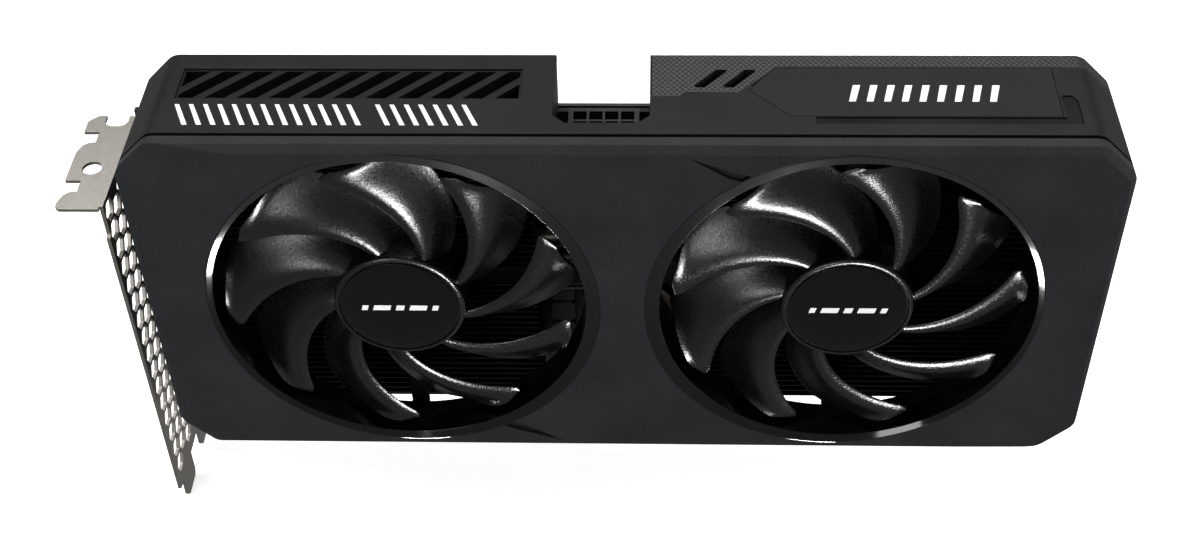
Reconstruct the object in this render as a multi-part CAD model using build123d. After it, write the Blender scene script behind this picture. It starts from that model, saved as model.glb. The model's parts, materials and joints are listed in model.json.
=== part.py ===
from build123d import *
from math import cos, radians, sin, sqrt, tan
import os

# Two-slot, two-fan graphics card, standing on its long edge with the fans facing -Y.
# +X runs from the bracket to the far end, +Z from the edge connector up to the top band.
# The origin is on the bracket's outer face, on the circuit board's mid-plane, level with
# the bottom of the edge connector. All sizes are in millimetres. "Depth" is measured from
# the fan-side face towards the back.

# ---- overall size ----
CARD_LENGTH = 262.0          # bracket's outer face to the far end
CARD_HEIGHT = 126.3          # bottom of the edge connector to the top band
FACE_HEIGHT = 111.0
BOARD_DEPTH = 35.5           # face to the circuit board's mid-plane
SHROUD_DEPTH = 39.3          # face to the rear rim of the shroud

# ---- faceplate and shroud ----
FACE_GAP = 6.0               # bracket to the left edge of the faceplate
CORNER_CUT = 9.0
CORNER_RADIUS = 5.0
FACE_BEVEL = 1.9
FACE_SKIN = 3.4
FACE_RIM_DEPTH = 5.0
FACE_RIM_WALL = 2.0
SEAM_INSET = 1.5             # the seam groove between faceplate and shroud
DECK_FRONT = 6.2             # depth of the shroud's fan deck
DECK_THICKNESS = 1.8
SHROUD_WALL = 2.2
INLAY_DEPTH = 1.0
INLAY_GAP = 0.15
SLASH_DEPTH = 1.1
FACET_RISE = 3.0             # how far the two corner facets fall back
UPPER_FACET = (31.5, 30.5)   # size of the facet at the upper bracket corner, along X and Z
LOWER_FACET = (34.5, 34.5)

# ---- fans ----
FAN_SPACING = 120.0
OPENING_RADIUS = 50.2
BEZEL_RADIUS = 52.9
BEZEL_SHIFT = (1.3, 0.8)     # bezel's outer rim is off centre, towards the middle of the card
BEZEL_DEPTH = 1.3
BEZEL_TUBE_WALL = 1.4
BEZEL_END = 9.0
BLADE_COUNT = 9
BLADE_TIP_RADIUS = 47.6
BLADE_SWEEP = 48.0           # degrees that the tip leads the root by
BLADE_FRONT = 2.6
BLADE_BACK = 12.0
BLADE_THICKNESS = 1.3
BLADE_ROOT_ANGLE = 29.0
BLADE_TIP_ANGLE = 34.0
LEFT_PHASE = -4.0            # angle of one blade tip
RIGHT_PHASE = 20.7
HUB_RADIUS = 17.7
HUB_FRONT = 1.6
HUB_BACK = 12.9
HUB_WALL = 1.2
HUB_CAP_RADIUS = 16.0
HUB_CAP_THICKNESS = 0.8
YOKE_WALL = 0.8
MAGNET_WALL = 1.9
SHAFT_RADIUS = 1.2
SHAFT_CLEARANCE = 0.04
BEARING_RADIUS = 3.4
POST_WALL = 1.1
STATOR_GAP = 0.45
STATOR_POLES = 6
SEAT_RADIUS = 18.6
SEAT_FRONT = 13.6
SEAT_BACK = 15.4
FRAME_WALL = 1.6
FRAME_RING_BACK = 13.0
ARM_WIDTH = 5.0
LUG_RADIUS = 3.6
LUG_CIRCLE = 54.8
LUG_THICKNESS = 2.4
LEAD_DIAMETER = 1.4
LEAD_CLEARANCE = 0.5

# ---- heatsink ----
FIN_FRONT = 18.0
FIN_PITCH = 2.1
FIN_THICKNESS = 0.4
LEFT_FINS = (20.0, 110.0)
RIGHT_FINS = (153.0, 246.0)
FIN_HEIGHTS = (18.8, 113.2)
PIPE_DEPTH = 26.2            # face to the heat pipes' centre lines
PIPE_RADIUS = 3.0
PIPE_BEND = 12.0
PIPE_ENDS = (26.0, 240.0)
PIPE_TURN_X = 146.5
PIPE_SPACING = 8.0
PIPE_SPREAD = 34.0
GPU_CENTRE = (84.0, 66.0)
COLD_PLATE_SIZE = 40.0
BASE_SIZE = (56.0, 84.0)
BASE_THICKNESS = 1.8

# ---- circuit board ----
BOARD_THICKNESS = 1.57
BOARD_LEFT = 2.5
BOARD_RIGHT = 186.0
BOARD_TOP = 111.15
KEY_FROM_BRACKET = 59.05
KEY_WIDTH = 1.9
TONGUE_LEFT = 11.65
TONGUE_RIGHT = 71.65
TONGUE_HEIGHT = 8.25
CONTACT_PITCH = 1.0
CONTACT_SIZE = (0.7, 0.06, 4.6)
PACKAGE_SIZE = 34.0
PACKAGE_THICKNESS = 1.6
DIE_SIZE = (17.0, 12.0)
DIE_THICKNESS = 0.8
MEMORY_SIZE = (12.0, 14.0)
MEMORY_THICKNESS = 1.2
SOCKET_SIZE = (18.8, 10.6, 15.0)
SOCKET_CENTRE_X = 128.9
SOCKET_TOP = 112.4
CAVITY_PITCH = 4.2
CAVITY_SIZE = 3.5
PIN_SIZE = 1.1

# ---- bracket ----
BRACKET_WIDTH = 38.74
SHEET = 1.0
FLANGE_TOP = 106.2
FLANGE_DEPTH = 11.43
NOTCH_PITCH = 20.32
NOTCH_WIDTH = 4.42
NOTCH_DEPTH = 4.2
NOTCH_FROM_FRONT = 9.2
FLANGE_HOLE_RADIUS = 2.6
FLANGE_HOLE = (-5.5, 16.5)
PLATE_BOTTOM = -4.8
TAIL_WIDTH = 10.19
TAIL_MARGIN = 4.12
TAIL_TIP = -13.8
BEND_RELIEF = (1.1, 10.2)     # step at the front of the bend, along depth and Z
HEX_PITCH = 6.65
HEX_WEB = 1.05
HEX_COLUMNS = 4
HEX_FIRST = 4.9

# ---- backplate ----
BACKPLATE_FRONT = 38.0
BACKPLATE_THICKNESS = 1.2
BACKPLATE_INSET = 2.8
BACKPLATE_HEIGHTS = (10.5, 121.0)

# ---- places that follow from the sizes above ----
FACE_Y = -BOARD_DEPTH
FACE_BOTTOM = CARD_HEIGHT - FACE_HEIGHT
FACE_CENTRE_X = (FACE_GAP + CARD_LENGTH) / 2
FAN_HEIGHT = FACE_BOTTOM + FACE_HEIGHT / 2
DECK_BACK = DECK_FRONT + DECK_THICKNESS
BOARD_FRONT = BOARD_DEPTH - BOARD_THICKNESS / 2
BOARD_BACK = BOARD_DEPTH + BOARD_THICKNESS / 2
COLD_PLATE_FRONT = PIPE_DEPTH + PIPE_RADIUS
FIN_BACK = COLD_PLATE_FRONT + BASE_THICKNESS
COLD_PLATE_BACK = BOARD_FRONT - PACKAGE_THICKNESS - DIE_THICKNESS
PLATE_HEIGHT = FLANGE_TOP - SHEET
TOP_INNER = CARD_HEIGHT - SHROUD_WALL
SOCKET_SPAN = (SOCKET_CENTRE_X - 12.3, SOCKET_CENTRE_X + 12.2)

FANS = {
    "left": (FACE_CENTRE_X - FAN_SPACING / 2, LEFT_PHASE, 1),
    "right": (FACE_CENTRE_X + FAN_SPACING / 2, RIGHT_PHASE, -1),
}

parts = {}


# ---- shape helpers ----
def deep(depth):
    """Y of a depth measured from the fan-side face."""
    return FACE_Y + depth


def block(x_span, depth_span, z_span):
    """Rectangular block between two ends along X, depth and Z."""
    spans = (x_span, (deep(depth_span[0]), deep(depth_span[1])), z_span)
    size = [high - low for low, high in spans]
    middle = [(high + low) / 2 for low, high in spans]
    return Pos(*middle) * Box(*size)


def disc(radius, centre, depth_span):
    """Cylinder along Y about (x, z), between two depths."""
    middle = (deep(depth_span[0]) + deep(depth_span[1])) / 2
    length = depth_span[1] - depth_span[0]
    return Pos(centre[0], middle, centre[1]) * Rot(90, 0, 0) * Cylinder(radius, length)


def ring(outer, inner, centre, depth_span):
    return disc(outer, centre, depth_span) - disc(inner, centre, depth_span)


def front_plane(depth):
    """Plane at a depth, drawn in X and Z, facing the fan side."""
    return Plane(origin=(0, deep(depth), 0), x_dir=(1, 0, 0), z_dir=(0, -1, 0))


def slab(sketch, depth_span):
    """Sketch in X and Z, extruded between two depths."""
    return extrude(front_plane(depth_span[0]) * sketch, amount=depth_span[1] - depth_span[0], dir=(0, 1, 0))


def layer(sketch, z_span):
    """Sketch in X and depth, extruded between two heights."""
    placed = Pos(0, FACE_Y, z_span[0]) * sketch
    return extrude(placed, amount=z_span[1] - z_span[0], dir=(0, 0, 1))


def side_slab(sketch, x_span):
    """Sketch in depth and Z, extruded along X."""
    plane = Plane(origin=(x_span[0], FACE_Y, 0), x_dir=(0, 1, 0), z_dir=(1, 0, 0))
    return extrude(plane * sketch, amount=x_span[1] - x_span[0], dir=(1, 0, 0))


def polygon(*points):
    return Polygon(*points, align=None)


def around(centre, radius, angle):
    """Point at an angle, anticlockwise from +X as seen from the fan side."""
    return (centre[0] + radius * cos(radians(angle)), centre[1] + radius * sin(radians(angle)))


def group(solids):
    return Compound(children=list(solids))


def card_outline(inset=0.0):
    """Face outline: a rectangle with cut and rounded corners."""
    left, right = FACE_GAP, CARD_LENGTH
    low, high = FACE_BOTTOM, CARD_HEIGHT
    cut = CORNER_CUT
    shape = polygon(
        (left + cut, low), (right - cut, low), (right, low + cut), (right, high - cut),
        (right - cut, high), (left + cut, high), (left, high - cut), (left, low + cut),
    )
    shape = fillet(shape.vertices(), CORNER_RADIUS)
    return offset(shape, amount=-inset) if inset else shape


# ---- faceplate, shroud and trim ----
def facet_cutter(start, end, corner):
    """Half-space in front of the plane through two face points and a sunken corner."""
    a = Vector(start[0], FACE_Y, start[1])
    b = Vector(end[0], FACE_Y, end[1])
    c = Vector(corner[0], deep(FACET_RISE), corner[1])
    normal = (b - a).cross(c - a)
    if normal.Y > 0:
        normal = normal * -1
    reach = CARD_LENGTH
    return Plane(origin=a, x_dir=b - a, z_dir=normal) * Pos(0, 0, reach / 2) * Box(reach, reach, reach)


def bezel_centre(side):
    x, _, inward = FANS[side]
    return (x + inward * BEZEL_SHIFT[0], FAN_HEIGHT + BEZEL_SHIFT[1])


def slash_area():
    """Tapered groove from the left ring towards the bottom edge, in X and Z."""
    points = ((-37.0, 14.0), (-33.6, 11.7), (-26.9, 9.2), (-17.0, 2.8), (-20.6, 4.4), (-27.8, 6.9), (-38.0, 10.6))
    return polygon(*((FACE_CENTRE_X + x, FACE_BOTTOM + z) for x, z in points))


def make_faceplate():
    body = slab(card_outline(), (FACE_BEVEL, FACE_RIM_DEPTH))
    body += extrude(front_plane(FACE_BEVEL) * card_outline(), amount=FACE_BEVEL, taper=45)
    body += slab(card_outline(SEAM_INSET), (FACE_RIM_DEPTH, DECK_FRONT))
    body -= slab(card_outline(SEAM_INSET + FACE_RIM_WALL), (FACE_SKIN, DECK_FRONT))
    left, right, low, high = FACE_GAP, CARD_LENGTH, FACE_BOTTOM, CARD_HEIGHT
    body -= facet_cutter((left + UPPER_FACET[0], high), (left, high - UPPER_FACET[1]), (left, high))
    body -= facet_cutter((right - LOWER_FACET[0], low), (right, low + LOWER_FACET[1]), (right, low))
    slash = slash_area()
    body -= slab(slash, (-1.0, SLASH_DEPTH))
    middle = (FACE_CENTRE_X, FACE_BOTTOM + FACE_HEIGHT / 2)
    body -= slab(Pos(*middle) * Rot(0, 0, 180) * Pos(-middle[0], -middle[1]) * slash, (-1.0, SLASH_DEPTH))
    for side in FANS:
        body -= disc(BEZEL_RADIUS, bezel_centre(side), (-1.0, DECK_FRONT + 1.0))
    return body


def make_bezel(side):
    """Gloss ring with a cone that is widest towards the middle of the card."""
    centre = (FANS[side][0], FAN_HEIGHT)
    rim = BEZEL_RADIUS - 0.3
    body = disc(BEZEL_RADIUS, bezel_centre(side), (0, DECK_FRONT))
    body += disc(OPENING_RADIUS + BEZEL_TUBE_WALL, centre, (DECK_FRONT, BEZEL_END))
    mouth = front_plane(0) * Pos(*bezel_centre(side)) * Circle(rim)
    throat = front_plane(BEZEL_DEPTH) * Pos(*centre) * Circle(OPENING_RADIUS)
    body -= loft([mouth, throat])
    body -= disc(OPENING_RADIUS, centre, (BEZEL_DEPTH - 0.01, BEZEL_END))
    return body


VENT_SPAN = (19.3, 108.1)
VENT_DEPTHS = (20.5, 33.1)
TRIM_EDGE = ((141.6, 21.6), (148.5, 21.6), (150.0, 23.4), (163.8, 23.4), (173.6, 34.2))
GUIDE_SPAN = (182.9, 243.7)
GUIDE_DEPTHS = (10.8, 13.2)
HOOK_SPAN = (245.2, 248.8)
HOOK_BACK = 22.2
TRIM_SLOT_LEAN = 6.5
TRIM_SLOT_STARTS = (151.7, 159.1, 166.4)


def top_cut(points, z_span):
    return layer(polygon(*points), z_span)


def trim_area():
    """Area of the knurled strip on the top band, in X and depth."""
    far = CARD_LENGTH + 5.0
    back = SHROUD_DEPTH + 1.0
    return polygon(*TRIM_EDGE, (far, TRIM_EDGE[-1][1]), (far, back), (TRIM_EDGE[0][0], back))


def panel_area(inset):
    """Flush panel: pointed at its left end, bounded by the strip and the light guide."""
    back = TRIM_EDGE[-1][1] - 0.4
    front = GUIDE_DEPTHS[1] + 0.5
    left = TRIM_EDGE[-1][0]
    shape = polygon((left + 3.0, front), (HOOK_SPAN[0] - 1.0, front), (HOOK_SPAN[0] - 1.0, back),
                    (left, back), (left - 7.2, TRIM_EDGE[-2][1] + 1.0))
    return offset(shape, amount=-inset, kind=Kind.INTERSECTION) if inset else shape


def outer_skin(depth_span):
    """Outermost layer of the shroud's wall, as thick as an inlay."""
    return slab(card_outline(), depth_span) - slab(card_outline(INLAY_DEPTH), depth_span)


def trim_slots(z_span):
    """Three slanted slots through the knurled strip."""
    slots = []
    for start in TRIM_SLOT_STARTS:
        shape = polygon((start, 25.4), (start + 3.4, 25.4), (start + 3.4 + TRIM_SLOT_LEAN, 33.0),
                        (start + TRIM_SLOT_LEAN, 33.0))
        slots.append(layer(fillet(shape.vertices(), 0.6), z_span))
    return slots


def above_vent():
    """Skin region over the right part of the band, above the middle of the far end wall."""
    reach = (CARD_HEIGHT - 22.0, CARD_HEIGHT + 1.0)
    return layer(trim_area(), reach)


def make_top_trim():
    body = outer_skin((0, SHROUD_DEPTH)) & above_vent()
    for slot in trim_slots((TOP_INNER - 2.0, CARD_HEIGHT + 1.0)):
        body -= slot
    return body


def guide_area(margin):
    bar = polygon((GUIDE_SPAN[0] - margin, GUIDE_DEPTHS[0] - margin),
                  (HOOK_SPAN[1] + margin, GUIDE_DEPTHS[0] - margin),
                  (HOOK_SPAN[1] + margin, HOOK_BACK - 2.0 + margin),
                  (HOOK_SPAN[1] - 1.2 + margin, HOOK_BACK + margin),
                  (HOOK_SPAN[0] - margin, HOOK_BACK + margin),
                  (HOOK_SPAN[0] - margin, GUIDE_DEPTHS[1] + margin),
                  (GUIDE_SPAN[0] - margin, GUIDE_DEPTHS[1] + margin))
    return bar


def post_places():
    """Screw posts that tie the shroud to the backplate."""
    high = TOP_INNER - 6.0
    low = FACE_BOTTOM + 10.5
    far = CARD_LENGTH - 9.5
    return [(14.0, high), (148.0, high), (far, high), (far, low)]


POST_RADIUS = 2.8
POST_HOLE = 1.0
EXHAUST_FRONT = 11.0         # the bracket end is open from this depth back


def lug_places(side):
    centre = (FANS[side][0], FAN_HEIGHT)
    return [around(centre, LUG_CIRCLE, angle) for angle in (45, 135, 225, 315)]


def make_shroud():
    body = slab(card_outline(), (DECK_FRONT, SHROUD_DEPTH))
    body -= slab(card_outline(SHROUD_WALL), (DECK_BACK, SHROUD_DEPTH))
    for place in post_places():
        body += disc(POST_RADIUS, place, (DECK_BACK, BACKPLATE_FRONT))
        body -= disc(POST_HOLE, place, (BACKPLATE_FRONT - 8.0, BACKPLATE_FRONT))
    for side, (x, _, _) in FANS.items():
        body -= disc(OPENING_RADIUS + BEZEL_TUBE_WALL, (x, FAN_HEIGHT), (DECK_FRONT, DECK_BACK))
        for place in lug_places(side):
            body -= disc(POST_HOLE, place, (DECK_FRONT + 0.4, DECK_BACK))
    under = (FACE_BOTTOM - 1.0, FACE_BOTTOM + SHROUD_WALL + 0.5)
    body -= block((FACE_GAP + 8.0, CARD_LENGTH - 8.0), (DECK_BACK, SHROUD_DEPTH), under)
    exhaust = (FACE_BOTTOM - 1.0, BOARD_TOP + 1.0)
    body -= block((FACE_GAP - 1.0, FACE_GAP + SHROUD_WALL + 0.5), (EXHAUST_FRONT, SHROUD_DEPTH), exhaust)
    corner = CORNER_CUT + SHROUD_WALL
    body -= block((FACE_GAP - 1.0, FACE_GAP + corner), (EXHAUST_FRONT, SHROUD_DEPTH),
                  (FACE_BOTTOM - 1.0, FACE_BOTTOM + corner))
    through = (TOP_INNER - 1.0, CARD_HEIGHT + 1.0)
    body -= layer(vent_window(0), through)
    body -= layer(notch_area(), (BOARD_TOP - 1.0, CARD_HEIGHT + 1.0))
    body -= layer(guide_area(0.1), through)
    body -= outer_skin((DECK_FRONT, SHROUD_DEPTH)) & above_vent()
    body -= layer(panel_area(-INLAY_GAP), (CARD_HEIGHT - INLAY_DEPTH, CARD_HEIGHT + 1.0))
    for slot in trim_slots(through):
        body -= slot
    body += socket_pocket()
    return body


def notch_area(margin=0.0):
    """Cut-out in the top band that gives access to the power socket, open at the back."""
    left, right = SOCKET_SPAN[0] - margin, SOCKET_SPAN[1] + margin
    front = 10.7 - margin
    back = SHROUD_DEPTH + 1.0
    corner = 3.0
    return polygon((left + corner, front), (right - corner, front), (right, front + corner),
                   (right, back), (left, back), (left, front + corner))


POCKET_WALL = 1.6


def socket_pocket():
    """Walls that drop from the notch's edges down beside the socket."""
    shell = layer(notch_area(POCKET_WALL), (BOARD_TOP + POCKET_WALL, TOP_INNER))
    shell -= layer(notch_area(), (BOARD_TOP, CARD_HEIGHT))
    return shell & block((0, CARD_LENGTH), (DECK_BACK, BACKPLATE_FRONT), (0, CARD_HEIGHT))


def vent_window(margin):
    left, right = VENT_SPAN[0] - margin, VENT_SPAN[1] + margin
    front, back = VENT_DEPTHS[0] - margin, VENT_DEPTHS[1] + margin
    return polygon((left, front), (right, front), (right, back), (left, back))


SLAT_PITCH = 8.31
SLAT_WIDTH = 3.1
SLAT_LEAN = 13.6
SLAT_COUNT = 11
SLAT_FIRST = 14.1


def make_vent_grille():
    """Frame under the window with slanted slats that fill it."""
    frame = layer(vent_window(1.0), (TOP_INNER - 1.2, TOP_INNER))
    frame -= layer(vent_window(-0.6), (TOP_INNER - 1.3, TOP_INNER + 0.1))
    top = CARD_HEIGHT - 0.5
    window = layer(vent_window(0), (TOP_INNER - 1.2, top))
    rim = window - layer(vent_window(-0.6), (TOP_INNER - 1.3, top + 0.1))
    body = frame + rim
    for index in range(SLAT_COUNT):
        start = SLAT_FIRST + SLAT_PITCH * index
        front, back = VENT_DEPTHS[0] - 0.5, VENT_DEPTHS[1] + 0.5
        bar = layer(polygon((start, front), (start + SLAT_WIDTH, front),
                            (start + SLAT_WIDTH + SLAT_LEAN, back), (start + SLAT_LEAN, back)),
                    (TOP_INNER - 1.2, top))
        body += bar & window
    return body


def make_side_panel():
    return layer(panel_area(0), (CARD_HEIGHT - INLAY_DEPTH, CARD_HEIGHT))


GUIDE_TOP = CARD_HEIGHT - 0.3
FLANGE_UNDER = 0.4


def make_light_guide():
    body = layer(guide_area(0), (TOP_INNER - FLANGE_UNDER, GUIDE_TOP))
    body += layer(guide_area(0.9), (TOP_INNER - FLANGE_UNDER, TOP_INNER))
    return body


LED_SIZE = (2.0, 1.6, 0.4)
LED_COUNT = 9
LED_BOARD_THICKNESS = 0.4


def led_heights():
    top = TOP_INNER - FLANGE_UNDER
    return top - LED_SIZE[2], top


def make_led_board():
    low = led_heights()[0]
    return block((GUIDE_SPAN[0], HOOK_SPAN[1]), (DECK_BACK, GUIDE_DEPTHS[1] + 3.0),
                 (low - LED_BOARD_THICKNESS, low))


def make_leds():
    step = (GUIDE_SPAN[1] - GUIDE_SPAN[0]) / LED_COUNT
    middle = (GUIDE_DEPTHS[0] + GUIDE_DEPTHS[1]) / 2
    solids = []
    for index in range(LED_COUNT):
        x = GUIDE_SPAN[0] + step * (index + 0.5)
        solids.append(block((x - LED_SIZE[0] / 2, x + LED_SIZE[0] / 2),
                            (middle - LED_SIZE[1] / 2, middle + LED_SIZE[1] / 2), led_heights()))
    return group(solids)


# ---- fans ----
def blade_section(radius, tip_angle):
    """Thin cambered section of one blade, on the plane that faces along its radius."""
    share = (radius - HUB_RADIUS) / (BLADE_TIP_RADIUS - HUB_RADIUS)
    lead = tip_angle - BLADE_SWEEP * (1 - share)
    width = BLADE_ROOT_ANGLE + (BLADE_TIP_ANGLE - BLADE_ROOT_ANGLE) * share
    half = radius * tan(radians(width / 2))
    middle = lead - width / 2
    out = Vector(cos(radians(middle)), 0, sin(radians(middle)))
    along = Vector(-sin(radians(middle)), 0, cos(radians(middle)))
    plane = Plane(origin=out * radius, x_dir=along, z_dir=out)
    # x runs towards the leading edge; y is out.cross(along), which points to the fan side
    rise = (BLADE_BACK - BLADE_FRONT) / 2
    camber = 1.6
    edge = BLADE_THICKNESS * 0.25
    body = BLADE_THICKNESS * 0.5
    front = Spline((-half, -rise + edge), (0, camber + body), (half, rise + edge))
    back = Spline((half, rise - edge), (0, camber - body), (-half, -rise - edge))
    nose = Line(front @ 1, back @ 0)
    tail = Line(back @ 1, front @ 0)
    return plane * make_face([front, nose, back, tail])


def make_blade(tip_angle):
    radii = [HUB_RADIUS - 1.0, 24.0, 31.0, 38.0, 45.0, BLADE_TIP_RADIUS + 4.0]
    return loft([blade_section(radius, tip_angle) for radius in radii])


def fan_place(side):
    x = FANS[side][0]
    return Pos(x, deep((BLADE_FRONT + BLADE_BACK) / 2), FAN_HEIGHT)


def make_rotor(side):
    """Hub cup and swept blades, moulded as one piece."""
    centre = (FANS[side][0], FAN_HEIGHT)
    phase = FANS[side][1]
    blade = fan_place(side) * make_blade(phase)
    sleeve = ring(BLADE_TIP_RADIUS, HUB_RADIUS - 0.6, centre, (0.5, 14.5))
    first = blade & sleeve
    hub = disc(HUB_RADIUS, centre, (HUB_FRONT, HUB_BACK))
    axis = Axis((centre[0], 0, centre[1]), (0, -1, 0))
    body = hub
    for index in range(BLADE_COUNT):
        body += first.rotate(axis, index * 360 / BLADE_COUNT)
    inner = HUB_RADIUS - HUB_WALL
    body -= disc(inner, centre, (HUB_FRONT + HUB_WALL, HUB_BACK))
    body += disc(SHAFT_RADIUS + 1.2, centre, (HUB_FRONT + HUB_WALL, HUB_FRONT + HUB_WALL + 1.0))
    body -= disc(SHAFT_RADIUS, centre, (HUB_FRONT + HUB_WALL, HUB_FRONT + HUB_WALL + 1.0))
    return body


def make_hub_cap(side):
    centre = (FANS[side][0], FAN_HEIGHT)
    return disc(HUB_CAP_RADIUS, centre, (HUB_FRONT - HUB_CAP_THICKNESS, HUB_FRONT))


def make_yoke(side):
    centre = (FANS[side][0], FAN_HEIGHT)
    outer = HUB_RADIUS - HUB_WALL
    return ring(outer, outer - YOKE_WALL, centre, (HUB_FRONT + HUB_WALL, HUB_BACK - 0.5))


def magnet_radii():
    outer = HUB_RADIUS - HUB_WALL - YOKE_WALL
    return outer, outer - MAGNET_WALL


def make_magnet(side):
    centre = (FANS[side][0], FAN_HEIGHT)
    outer, inner = magnet_radii()
    return ring(outer, inner, centre, (HUB_FRONT + HUB_WALL + 1.0, HUB_BACK - 0.9))


def make_shaft(side):
    centre = (FANS[side][0], FAN_HEIGHT)
    return disc(SHAFT_RADIUS, centre, (HUB_FRONT + HUB_WALL, SEAT_FRONT - 0.2))


def post_outer():
    return BEARING_RADIUS + POST_WALL


BEARING_FRONT = 4.6
STATOR_SPAN = (5.4, 9.6)


def make_bearing(side):
    centre = (FANS[side][0], FAN_HEIGHT)
    return ring(BEARING_RADIUS, SHAFT_RADIUS + SHAFT_CLEARANCE, centre, (BEARING_FRONT, SEAT_FRONT))


def make_stator(side):
    """Laminated core: a ring with T-shaped poles."""
    centre = (FANS[side][0], FAN_HEIGHT)
    tip = magnet_radii()[1] - STATOR_GAP
    body = ring(post_outer() + 2.0, post_outer(), centre, STATOR_SPAN)
    shoe_ring = ring(tip, tip - 1.2, centre, STATOR_SPAN)
    slots = []
    for index in range(STATOR_POLES):
        angle = index * 360 / STATOR_POLES
        spoke = block((centre[0] + post_outer() + 0.5, centre[0] + tip - 0.4), STATOR_SPAN,
                      (centre[1] - 1.0, centre[1] + 1.0))
        axis = Axis((centre[0], 0, centre[1]), (0, -1, 0))
        body += spoke.rotate(axis, angle)
        slot = block((centre[0] + tip - 3.0, centre[0] + tip + 1.0),
                     (STATOR_SPAN[0] - 1.0, STATOR_SPAN[1] + 1.0), (centre[1] - 1.1, centre[1] + 1.1))
        slots.append(slot.rotate(axis, angle + 180 / STATOR_POLES))
    for slot in slots:
        shoe_ring -= slot
    return body + shoe_ring


def make_coils(side):
    """One winding round each pole."""
    centre = (FANS[side][0], FAN_HEIGHT)
    tip = magnet_radii()[1] - STATOR_GAP
    x_span = (centre[0] + post_outer() + 2.2, centre[0] + tip - 1.4)
    front, back = STATOR_SPAN
    axis = Axis((centre[0], 0, centre[1]), (0, -1, 0))
    outer = block(x_span, (front - 1.0, back + 1.0), (centre[1] - 2.0, centre[1] + 2.0))
    outer = fillet(outer.edges().filter_by(Axis.X), 0.9)
    one = outer - block(x_span, STATOR_SPAN, (centre[1] - 1.0, centre[1] + 1.0))
    return group(one.rotate(axis, index * 360 / STATOR_POLES) for index in range(STATOR_POLES))


def lead_place(side):
    """Where the lead leaves the motor board, in X and Z."""
    x, _, inward = FANS[side]
    return (x + inward * 8.5, FAN_HEIGHT)


def make_motor_board(side):
    centre = (FANS[side][0], FAN_HEIGHT)
    return ring(12.6, post_outer(), centre, (SEAT_FRONT - 1.4, SEAT_FRONT - 0.6))


def make_frame(side):
    """Motor seat, four arms and the ring round the blades, with four screw lugs."""
    centre = (FANS[side][0], FAN_HEIGHT)
    inner = OPENING_RADIUS
    outer = inner + FRAME_WALL
    seat_span = (SEAT_FRONT, SEAT_BACK)
    axis = Axis((centre[0], 0, centre[1]), (0, -1, 0))
    body = disc(SEAT_RADIUS, centre, seat_span)
    arm = block((centre[0] + 10.0, centre[0] + inner + 0.5), seat_span,
                (centre[1] - ARM_WIDTH / 2, centre[1] + ARM_WIDTH / 2))
    foot = block((centre[0] + inner - 5.0, centre[0] + outer + 1.0), (FRAME_RING_BACK, SEAT_BACK),
                 (centre[1] - ARM_WIDTH / 2, centre[1] + ARM_WIDTH / 2))
    arm += ring(outer, inner, centre, (FRAME_RING_BACK, SEAT_BACK)) & foot
    for angle in (0, 90, 180, 270):
        body += arm.rotate(axis, angle)
    body += ring(post_outer(), BEARING_RADIUS, centre, (BEARING_FRONT, SEAT_FRONT))
    body += ring(outer, inner, centre, (BEZEL_END, FRAME_RING_BACK))
    for place in lug_places(side):
        lug = disc(LUG_RADIUS, place, (DECK_BACK, DECK_BACK + LUG_THICKNESS))
        neck = disc(LUG_RADIUS, place, (BEZEL_END, DECK_BACK + LUG_THICKNESS))
        body += (lug - disc(outer, centre, (DECK_BACK, DECK_BACK + LUG_THICKNESS))) + (
            neck - disc(inner, centre, (BEZEL_END, DECK_BACK + LUG_THICKNESS)))
        body -= disc(POST_HOLE, place, (DECK_BACK, DECK_BACK + LUG_THICKNESS))
    hole = disc(LEAD_DIAMETER / 2 + 0.1, lead_place(side), (SEAT_FRONT - 0.1, SEAT_BACK + 0.1))
    return body - hole


HEADER_SIZE = (6.0, 4.6)
HEADER_WALL = 0.6
HEADER_TOP = 29.5
HEADER_DEPTH = 3.0
PLUG_TOP = 26.5
HEADERS = {"left": (131.0, 49.0), "right": (131.0, 90.0)}


def lead_route(side):
    """Lead: out through the motor seat, along the back of the arm, then down to its plug."""
    x, z = lead_place(side)
    run = SEAT_BACK + LEAD_DIAMETER / 2 + LEAD_CLEARANCE
    plug_x, plug_z = HEADERS[side]
    return [(x, deep(SEAT_FRONT - 0.6), z), (x, deep(run), z), (plug_x, deep(run), z),
            (plug_x, deep(run), plug_z), (plug_x, deep(PLUG_TOP), plug_z)]


def make_lead(side):
    points = lead_route(side)
    runs = [(Vector(*b) - Vector(*a)).length for a, b in zip(points, points[1:])]
    radii = [0.45 * min(one, two) / tan(radians(45)) for one, two in zip(runs, runs[1:])]
    path = FilletPolyline(*points, radius=radii)
    start = Plane(origin=path @ 0, z_dir=path % 0)
    return sweep(start * Circle(LEAD_DIAMETER / 2), path=path)


def make_plugs():
    size = (HEADER_SIZE[0] - 2 * HEADER_WALL, HEADER_SIZE[1] - 2 * HEADER_WALL)
    solids = []
    for place in HEADERS.values():
        x_span, z_span = plate_around(size, place)
        solids.append(block(x_span, (PLUG_TOP, HEADER_TOP + HEADER_DEPTH), z_span))
    return group(solids)


def make_headers():
    size = (HEADER_SIZE[0] - 2 * HEADER_WALL, HEADER_SIZE[1] - 2 * HEADER_WALL)
    solids = []
    for place in HEADERS.values():
        x_span, z_span = plate_around(HEADER_SIZE, place)
        body = block(x_span, (HEADER_TOP, BOARD_FRONT), z_span)
        x_span, z_span = plate_around(size, place)
        solids.append(body - block(x_span, (HEADER_TOP, HEADER_TOP + HEADER_DEPTH), z_span))
    return group(solids)


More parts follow.
